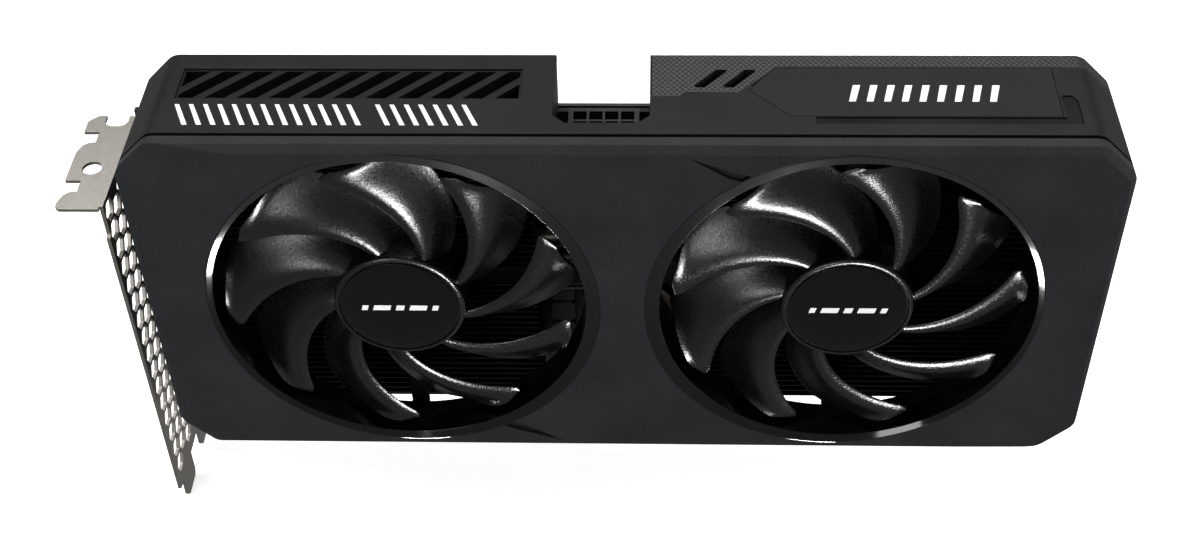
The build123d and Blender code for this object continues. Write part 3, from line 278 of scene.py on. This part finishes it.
def rolled_aluminium():
    """Rolled aluminium fin stock: dull dark grey, with faint lines along the fin."""
    return brushed("rolled aluminium fin stock", "#2c2d2f", "#48494b", (0.3, 0.42), (0.03, 1, 1), 0.3, 0.003)


def nickel_copper_with_painted_shade():
    """Nickel-plated copper of pipes and cold plate: smooth, with a warm cast, its colour painted dark as painted
    shade for where it sits deep behind the fans.
    """
    # Base colours darker than bright nickel plate: painted shade for the pipes and cold plate deep behind the
    # fans.
    return brushed("nickel-plated copper", "#45423e", "#5c5852", (0.25, 0.35), (0.1, 1, 1), 0.6, 0.002)


def bare_copper():
    """Enamelled copper wire and sintered bronze: orange, fine turns across the pole."""
    return brushed("enamelled copper", "#8a4b2a", "#b8693c", (0.3, 0.42), (1, 0.02, 1), 0.25, 0.01)


def gold_plate():
    """Hard gold plate of the edge contacts: yellow and fairly smooth."""
    return brushed("hard gold plate", "#b98f3c", "#d9b15a", (0.2, 0.3), (1, 1, 0.1), 0.2, 0.002)


def tin_plate():
    """Tin-plated brass pins: pale, slightly dull."""
    return brushed("tin-plated brass", "#a39a80", "#c4bca2", (0.3, 0.4), (1, 1, 0.1), 0.3, 0.002)


def coated_steel():
    """Powder-coated steel backplate: black with a fine orange-peel skin."""
    return grained("powder-coated steel", "#121213", "#1b1b1d", (0.42, 0.5), 0.8, 0.02,
                   edge_mm=0.25, extra={"IOR": 1.5})


def can_aluminium():
    """Drawn aluminium can of a capacitor: satin with a clear skin."""
    return brushed("drawn aluminium can", "#9a9c9f", "#c0c2c4", (0.25, 0.35), (1, 0.05, 1), 0.3, 0.002)


# ---- electronics ----
def solder_mask():
    """Black solder mask over copper: gloss skin with faint raised tracks and plated holes."""
    material = blank("black solder mask")
    where = place(material)
    flat = add(material, "ShaderNodeMapping", {"Vector": where, "Scale": (1, 0, 1)})
    tracks = add(material, "ShaderNodeTexVoronoi",
                 {"Vector": flat.outputs["Vector"], "Scale": 1 / (2.4 * MM)},
                 feature="DISTANCE_TO_EDGE", distance="CHEBYCHEV")
    holes = add(material, "ShaderNodeTexVoronoi",
                {"Vector": flat.outputs["Vector"], "Scale": 1 / (3.1 * MM), "Randomness": 0.7})
    raised = spread(material, tracks.outputs["Distance"], 1.0, 0.0, 0.06, 0.10)
    plated = spread(material, holes.outputs["Distance"], 1.0, 0.0, 0.08, 0.11)
    ink = mix_colours(material, raised, "#07090a", "#0d1112")
    bump = add(material, "ShaderNodeBump", {
        "Height": raised, "Distance": 0.03 * MM, "Strength": 1.0, "Normal": rounded(material, 0.1)})
    roughness = spread(material, plated, 0.30, 0.5)
    return finish_surface(material, ink.outputs["Color"], roughness, bump.outputs["Normal"], {"IOR": 1.5})


def epoxy_resin():
    """Moulded epoxy of chips and chokes: dull dark grey with a gritty grain."""
    return grained("moulded epoxy", "#17181a", "#212224", (0.5, 0.6), 0.35, 0.01, edge_mm=0.15)


def polished_silicon():
    """Bare silicon die: dark mirror with a violet-grey cast."""
    return grained("polished silicon", "#2a2b33", "#34353e", (0.06, 0.1), 2.0, 0.001,
                   edge_mm=0.05, extra={"IOR": 2.4})


def silicone_pad():
    """Silicone thermal pad: soft matt blue-grey with a waxy surface."""
    return grained("silicone thermal pad", "#7d858c", "#939ba1", (0.7, 0.8), 0.8, 0.03, edge_mm=0.3)


def fired_ceramic():
    """Fired ceramic capacitor body: tan and dull."""
    return grained("fired ceramic", "#6e5a44", "#85705a", (0.45, 0.6), 0.3, 0.01, edge_mm=0.1)


def glass_filled_nylon():
    """Glass-filled nylon of connectors: black, semi-gloss, faintly streaked."""
    return grained("glass-filled nylon", "#0a0a0b", "#131314", (0.34, 0.46), 0.6, 0.01, edge_mm=0.2)


def woven_sleeve():
    """Black heat-shrink sleeve over the lead's wires: matt with slight ripples."""
    return grained("heat-shrink sleeve", "#0b0b0b", "#161616", (0.5, 0.62), 0.9, 0.03, edge_mm=0.1)


def led_resin():
    """White moulded resin of the unlit light packages: creamy and smooth."""
    return grained("white LED resin", "#d9d7cb", "#ebe9de", (0.35, 0.45), 0.4, 0.003, edge_mm=0.05)


FINISHES = {
    "textured_faceplate": eroded_abs(),
    "smooth_shroud": satin_abs(),
    "knurled_trim": knurled_abs(),
    "inlay_panel": inlay_abs(),
    "dark_moulding": dark_abs(),
    "gloss_ring": gloss_abs(),
    "fan_blade": blade_abs(),
    "hub_label": label_film(),
    "light_diffuser": smoked_diffuser(),
    "bright_steel": nickel_steel(),
    "dark_steel": coated_steel(),
    "zinc_steel": zinc_steel(),
    "fin_aluminium": rolled_aluminium(),
    "plated_copper": nickel_copper_with_painted_shade(),
    "copper": bare_copper(),
    "circuit_laminate": solder_mask(),
    "gold_contact": gold_plate(),
    "chip_resin": epoxy_resin(),
    "silicon": polished_silicon(),
    "thermal_pad": silicone_pad(),
    "ferrite": epoxy_resin(),
    "can_metal": can_aluminium(),
    "ceramic": fired_ceramic(),
    "connector_resin": glass_filled_nylon(),
    "tin_pin": tin_plate(),
    "cable_jacket": woven_sleeve(),
    "led_package": led_resin(),
}
INK = white_ink()


# ---- CAD nodes: welded, smooth across curves, crisp at edges ----
def smoothing_group(limit):
    """Geometry nodes that weld a node's faces and shade it smooth up to an angle."""
    name = f"weld_and_smooth_{math.degrees(limit):.0f}"
    tree = bpy.data.node_groups.new(name, "GeometryNodeTree")
    tree.interface.new_socket("Geometry", in_out="INPUT", socket_type="NodeSocketGeometry")
    tree.interface.new_socket("Geometry", in_out="OUTPUT", socket_type="NodeSocketGeometry")
    start = tree.nodes.new("NodeGroupInput")
    weld = tree.nodes.new("GeometryNodeMergeByDistance")
    weld.inputs["Distance"].default_value = 0.002 * MM
    smooth = tree.nodes.new("GeometryNodeSetShadeSmooth")
    angle = tree.nodes.new("GeometryNodeInputMeshEdgeAngle")
    sharp = tree.nodes.new("FunctionNodeCompare")
    sharp.operation = "GREATER_THAN"
    sharp.inputs[1].default_value = limit
    crease = tree.nodes.new("GeometryNodeSetShadeSmooth")
    crease.domain = "EDGE"
    crease.inputs["Shade Smooth"].default_value = False
    end = tree.nodes.new("NodeGroupOutput")
    tree.links.new(start.outputs[0], weld.inputs["Geometry"])
    tree.links.new(weld.outputs["Geometry"], smooth.inputs["Geometry"])
    tree.links.new(smooth.outputs["Geometry"], crease.inputs["Geometry"])
    tree.links.new(angle.outputs["Unsigned Angle"], sharp.inputs[0])
    tree.links.new(sharp.outputs["Result"], crease.inputs["Selection"])
    tree.links.new(crease.outputs["Geometry"], end.inputs[0])
    return tree


CREASE_DEGREES = 32
RING_CREASE_DEGREES = 12
SMOOTHING = smoothing_group(math.radians(CREASE_DEGREES))
RING_SMOOTHING = smoothing_group(math.radians(RING_CREASE_DEGREES))


def dress_cad_nodes():
    slots = {entry["node"]: entry["material_slot"] for entry in frame["record"]["subparts"]}
    for name, item in frame["nodes"].items():
        item.data.materials.clear()
        item.data.materials.append(FINISHES[slots[name]])
        modifier = item.modifiers.new("soft_edges", "NODES")
        modifier.node_group = RING_SMOOTHING if name.startswith("bezel_ring") else SMOOTHING


# ---- mesh pieces ----
def make_piece(name, mesh, finish, body=CARD, replaces=()):
    """Adds a mesh piece in the row frame, with its finish, riding on a CAD body."""
    bmesh.ops.recalc_face_normals(mesh, faces=mesh.faces)
    data = bpy.data.meshes.new(name)
    mesh.to_mesh(data)
    mesh.free()
    data.materials.append(finish)
    item = bpy.data.objects.new(name, data)
    bpy.context.scene.collection.objects.link(item)
    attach(item, body)
    if replaces:
        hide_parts(*replaces)
    return item


def smooth_by_angle(item, degrees):
    item.data.polygons.foreach_set("use_smooth", [True] * len(item.data.polygons))
    item.data.set_sharp_from_angle(angle=math.radians(degrees))


HUB_RADIUS_MM = 17.7
TIP_RADIUS_MM = 47.4
SWEEP = 48.0
BLADES = 9
ROOT_WIDTH = 29.0
TIP_WIDTH = 34.0
TIP_PHASE = {"left": -4.0, "right": 20.7}
BLADE_FRONT_MM = 2.7
BLADE_BACK_MM = 11.9
BLADE_THICKNESS_MM = 1.3
SPANS = 26
CHORDS = 18


def blade_point(share, along, side_of, phase):
    """Point of a blade in fan coordinates: x, depth, z in millimetres from the fan's axis.

    Share runs from root to tip, along from trailing to leading edge, and side_of is +1 on
    the fan side and -1 behind.
    """
    radius = HUB_RADIUS_MM - 0.8 + (TIP_RADIUS_MM - HUB_RADIUS_MM + 0.8) * share
    width = ROOT_WIDTH + (TIP_WIDTH - ROOT_WIDTH) * share
    lead = phase - SWEEP * (1 - share)
    nearness = max(0.0, (share - 0.86) / 0.14)
    rounding = 1 - math.sqrt(max(0.0, 1 - nearness ** 2))
    front_edge = lead - 9.0 * rounding
    back_edge = lead - width + 2.0 * rounding
    angle = math.radians(back_edge + (front_edge - back_edge) * along)
    middle = (BLADE_FRONT_MM + BLADE_BACK_MM) / 2
    rise = (BLADE_BACK_MM - BLADE_FRONT_MM) / 2 - 0.6
    slope = -rise * math.cos(math.pi * along)
    camber = 1.7 * math.sin(math.pi * along)
    thick = BLADE_THICKNESS_MM / 2 * (0.18 + 0.82 * math.sin(math.pi * along) ** 0.5)
    depth = middle - slope - camber - side_of * thick
    return Vector((radius * math.cos(angle), depth, radius * math.sin(angle)))


def add_blade(mesh, centre, phase):
    """Skins one blade as a closed shell of two surfaces joined round their edges."""
    rings = []
    for row in range(SPANS + 1):
        share = row / SPANS
        alongs = [0.5 - 0.5 * math.cos(math.pi * step / CHORDS) for step in range(CHORDS + 1)]
        loop = [blade_point(share, along, 1, phase) for along in alongs]
        loop += [blade_point(share, along, -1, phase) for along in reversed(alongs)]
        ring = []
        for point in loop:
            ring.append(mesh.verts.new((centre.x + point.x * MM, FACE_Y + point.y * MM,
                                        centre.z + point.z * MM)))
        rings.append(ring)
    count = len(rings[0])
    for lower, upper in zip(rings, rings[1:]):
        for index in range(count):
            after = (index + 1) % count
            mesh.faces.new((lower[index], lower[after], upper[after], upper[index]))
    for end in (rings[0], rings[-1]):
        for index in range(CHORDS):
            mesh.faces.new((end[index], end[index + 1], end[count - 2 - index], end[count - 1 - index]))


def add_spun(mesh, centre, profile, steps=96):
    """Spins a profile of (radius, depth) points, in millimetres, about a fan's axis."""
    rings = []
    for step in range(steps):
        angle = 2 * math.pi * step / steps
        ring = []
        for radius, depth in profile:
            ring.append(mesh.verts.new((centre.x + radius * MM * math.cos(angle),
                                        FACE_Y + depth * MM,
                                        centre.z + radius * MM * math.sin(angle))))
        rings.append(ring)
    for step in range(steps):
        here, there = rings[step], rings[(step + 1) % steps]
        for index in range(len(profile) - 1):
            corners = [here[index], here[index + 1], there[index + 1], there[index]]
            mesh.faces.new(corners)
    return rings


def close_ring(mesh, rings, index):
    mesh.faces.new([ring[index] for ring in rings])


def arc_points(centre, radius, start, end, steps):
    """Points along an arc in (radius, depth), angles in degrees."""
    points = []
    for step in range(steps + 1):
        angle = math.radians(start + (end - start) * step / steps)
        points.append((centre[0] + radius * math.cos(angle), centre[1] + radius * math.sin(angle)))
    return points


HUB_FRONT_MM = 1.6
HUB_BACK_MM = 12.9
HUB_WALL_MM = 1.15
HUB_RIM_MM = 1.1
LABEL_FRONT_MM = HUB_FRONT_MM - 0.62
LABEL_DOME_MM = 0.16


def hub_profile():
    """Hub cup with a rounded front rim round the label's recess, open at the back."""
    rim = arc_points((HUB_RADIUS_MM - HUB_RIM_MM, HUB_FRONT_MM + 0.5), HUB_RIM_MM, -90, 0, 6)
    profile = [(16.15, HUB_FRONT_MM - 0.05), (16.4, HUB_FRONT_MM - 0.6)] + rim
    profile += [(HUB_RADIUS_MM, HUB_BACK_MM - 0.3), (HUB_RADIUS_MM - 0.3, HUB_BACK_MM),
                (HUB_RADIUS_MM - 1.0, HUB_BACK_MM), (HUB_RADIUS_MM - HUB_WALL_MM, HUB_BACK_MM - 0.4),
                (HUB_RADIUS_MM - HUB_WALL_MM, HUB_FRONT_MM + 1.4)]
    return profile


def make_fan(side):
    centre = joint_of(side)
    mesh = bmesh.new()
    for index in range(BLADES):
        add_blade(mesh, centre, TIP_PHASE[side] + index * 360 / BLADES)
    rings = add_spun(mesh, centre, hub_profile())
    close_ring(mesh, rings, 0)
    close_ring(mesh, rings, len(hub_profile()) - 1)
    item = make_piece(f"fan_rotor_moulding_{side}", mesh, FINISHES["fan_blade"], f"{side}_rotor",
                      (f"fan_rotor_{side}",))
    smooth_by_angle(item, 40)
    return item


def make_hub_label(side):
    """Domed film disc with a bevelled edge, on the hub's recess."""
    centre = joint_of(side)
    mesh = bmesh.new()
    front = LABEL_FRONT_MM
    profile = [(0.01, front - LABEL_DOME_MM), (6.0, front - 0.14), (12.0, front - 0.06), (15.4, front),
               (15.75, front + 0.1), (15.85, front + 0.3), (15.85, HUB_FRONT_MM)]
    rings = add_spun(mesh, centre, profile)
    close_ring(mesh, rings, 0)
    close_ring(mesh, rings, len(profile) - 1)
    item = make_piece(f"hub_label_{side}", mesh, FINISHES["hub_label"], f"{side}_rotor",
                      (f"hub_cap_{side}",))
    smooth_by_angle(item, 35)
    return item


def add_mark(mesh, points, height, normal):
    """Thin printed patch: a flat polygon with a little thickness along its normal."""
    low = [mesh.verts.new(point) for point in points]
    high = [mesh.verts.new(Vector(point) + normal * height) for point in points]
    mesh.faces.new(low)
    mesh.faces.new(high)
    count = len(points)
    for index in range(count):
        after = (index + 1) % count
        mesh.faces.new((low[index], low[after], high[after], high[index]))


INK_MM = 0.03
INK_GAP_MM = 0.005
BAR_SHARE = 0.5
DASH_WIDTHS_MM = (1.6, 4.6, 2.2, 4.6, 1.6)
DASH_GAP_MM = 1.5
DASH_HALF_MM = 0.9
DASH_LEAN_MM = 0.5


def leaning_bar(start, width, low, high, lean, corner=0.5):
    """Outline of a leaning bar with two shortened corners, as (along, up) points."""
    slope = lean / (high - low)
    far_end = start + width + lean - corner * (1 - slope)
    return [(start + corner, low), (start + width, low), (far_end, high), (start + lean, high)]


def make_band_marks(name, start, end, near, far, count, lean, gap_after=()):
    """Row of plain leaning bars printed on the top band, in place of lettering."""
    mesh = bmesh.new()
    pitch = (end - start) / count
    for index in range(count):
        if index in gap_after:
            continue
        left = start + index * pitch
        outline = leaning_bar(left, pitch * BAR_SHARE, near, far, lean)
        top = BAND_TOP + INK_GAP_MM * MM
        points = [Vector((x * MM, FACE_Y + depth * MM, top)) for x, depth in outline]
        add_mark(mesh, points, INK_MM * MM, Vector((0, 0, 1)))
    return make_piece(name, mesh, INK)


def make_hub_marks(side):
    """Short dashes across the hub label, in place of lettering."""
    centre = joint_of(side)
    mesh = bmesh.new()
    total = sum(DASH_WIDTHS_MM) + DASH_GAP_MM * (len(DASH_WIDTHS_MM) - 1)
    left = -total / 2
    front = LABEL_FRONT_MM - LABEL_DOME_MM - INK_MM
    for width in DASH_WIDTHS_MM:
        outline = ((left, -DASH_HALF_MM), (left + width, -DASH_HALF_MM),
                   (left + width + DASH_LEAN_MM, DASH_HALF_MM), (left + DASH_LEAN_MM, DASH_HALF_MM))
        points = [Vector((centre.x + x * MM, FACE_Y + front * MM, centre.z + z * MM)) for x, z in outline]
        add_mark(mesh, points, INK_MM * MM, Vector((0, -1, 0)))
        left += width + DASH_GAP_MM
    return make_piece(f"hub_marks_{side}", mesh, INK, f"{side}_rotor")


# ---- studio ----
FLOOR_WIDTH = 6.0
SWEEP_RADIUS = 1.5
SWEEP_STEPS = 16


def light_table():
    """Opal acrylic of a light table, lit from below: matt white with hardly any shadow."""
    return grained("backlit opal acrylic", "#eeeeee", "#f4f4f4", (0.8, 0.9), 3.0, 0.01, edge_mm=0.1,
                   patch_mm=300.0, extra={"Emission Color": colour("#ffffff"), "Emission Strength": 0.75})


def make_floor():
    """Plain pale floor, with a curved sweep far behind."""
    mesh = bmesh.new()
    profile = [(-FLOOR_WIDTH / 2, 0.0), (FLOOR_WIDTH / 2, 0.0)]
    for step in range(1, SWEEP_STEPS + 1):
        angle = math.pi / 2 * step / SWEEP_STEPS
        profile.append((FLOOR_WIDTH / 2 + SWEEP_RADIUS * math.sin(angle),
                        SWEEP_RADIUS * (1 - math.cos(angle))))
    rows = []
    for y, z in profile:
        rows.append([mesh.verts.new((x, y, FLOOR_Z + z)) for x in (-FLOOR_WIDTH, FLOOR_WIDTH)])
    for low, high in zip(rows, rows[1:]):
        mesh.faces.new((low[0], low[1], high[1], high[0]))
    data = bpy.data.meshes.new("studio_floor")
    mesh.to_mesh(data)
    mesh.free()
    data.materials.append(light_table())
    item = bpy.data.objects.new("studio_floor", data)
    item.visible_glossy = False
    bpy.context.scene.collection.objects.link(item)


def make_light(name, position, target, size, power, diffuse=True, only=()):
    """Area light in metres and watts. Without diffuse it gives gloss only; only limits what it lights."""
    lamp = bpy.data.lights.new(name, "AREA")
    lamp.shape = "RECTANGLE"
    lamp.size, lamp.size_y = size
    lamp.energy = power
    item = bpy.data.objects.new(name, lamp)
    item.location = position
    item.rotation_euler = (Vector(target) - Vector(position)).to_track_quat("-Z", "Y").to_euler()
    item.visible_diffuse = diffuse
    item.visible_camera = False
    if only:
        lit = bpy.data.collections.new(name + "_lit")
        for piece in only:
            lit.objects.link(piece)
        item.light_linking.receiver_collection = lit
    bpy.context.scene.collection.objects.link(item)


FILL_STRENGTH = 0.20


def make_studio(rotors):
    """Soft boxes above and in front, strips at the sides, and low lights for blades and rings."""
    world = bpy.data.worlds.new("studio")
    world.use_nodes = True
    backdrop = world.node_tree.nodes["Background"]
    backdrop.inputs["Color"].default_value = colour("#ffffff")
    seen = add(world, "ShaderNodeLightPath").outputs["Is Camera Ray"]
    strength = add(world, "ShaderNodeMath", {0: seen, 1: 1.0 - FILL_STRENGTH, 2: FILL_STRENGTH},
                   operation="MULTIPLY_ADD")
    world.node_tree.links.new(strength.outputs[0], backdrop.inputs["Strength"])
    bpy.context.scene.world = world
    middle = (0.13, -0.02, 0.06)
    make_light("overhead_softbox", (0.10, 0.30, 1.00), middle, (1.1, 0.6), 11.0)
    make_light("front_softbox", (-0.35, -0.95, 0.75), middle, (0.5, 0.35), 4.0)
    make_light("right_strip", (0.95, 0.10, 0.45), middle, (0.15, 0.9), 4.0)
    make_light("left_strip", (-0.75, 0.15, 0.40), middle, (0.15, 0.9), 3.0)
    make_light("low_front_box", (0.30, -0.50, -0.02), (0.12, 0.0, 0.07), (0.20, 0.14), 7.0,
               diffuse=False, only=rotors)
    for side, across in (("left", 0.073), ("right", 0.190)):
        make_light(f"{side}_ring_glint", (across, -0.043, FLOOR_Z + 0.004), (across, -0.02, 0.10),
                   (0.016, 0.020), 0.08, diffuse=False, only=(frame["nodes"][f"bezel_ring_{side}"],))


CAMERA_PLACE_MM = (142.70, -364.23, 392.86)
CAMERA_PITCH = 43.279
CAMERA_YAW = -2.612
CAMERA_ROLL = -1.465
CAMERA_LENS_MM = 51.77


def make_camera():
    pitch, yaw, roll = (math.radians(a) for a in (CAMERA_PITCH, CAMERA_YAW, CAMERA_ROLL))
    forward = Vector((math.sin(yaw) * math.cos(pitch), math.cos(yaw) * math.cos(pitch), -math.sin(pitch)))
    right = Vector((math.cos(yaw), -math.sin(yaw), 0))
    up = right.cross(forward)
    tilted_right = right * math.cos(roll) + up * math.sin(roll)
    tilted_up = up * math.cos(roll) - right * math.sin(roll)
    turn = Matrix((tilted_right, tilted_up, -forward)).transposed().to_4x4()
    lens = bpy.data.cameras.new("camera")
    lens.sensor_width = 36
    lens.lens = CAMERA_LENS_MM
    lens.clip_start = 0.01
    item = bpy.data.objects.new("camera", lens)
    item.matrix_world = Matrix.Translation(Vector(CAMERA_PLACE_MM) * MM) @ turn
    bpy.context.scene.collection.objects.link(item)
    bpy.context.scene.camera = item


# ---- build ----
bpy.context.scene.view_settings.view_transform = "Standard"
dress_cad_nodes()
rotor_pieces = [make_fan(fan) for fan in FANS]
for fan in FANS:
    make_hub_label(fan)
    make_hub_marks(fan)
make_band_marks("printed_bars_near_vent", start=22.9, end=100.0, near=9.4, far=17.8, count=21,
                lean=-3.0, gap_after=(13,))
make_band_marks("printed_bars_on_panel", start=190.9, end=230.7, near=19.6, far=26.4, count=9, lean=2.0)
make_floor()
make_studio(rotor_pieces)
make_camera()
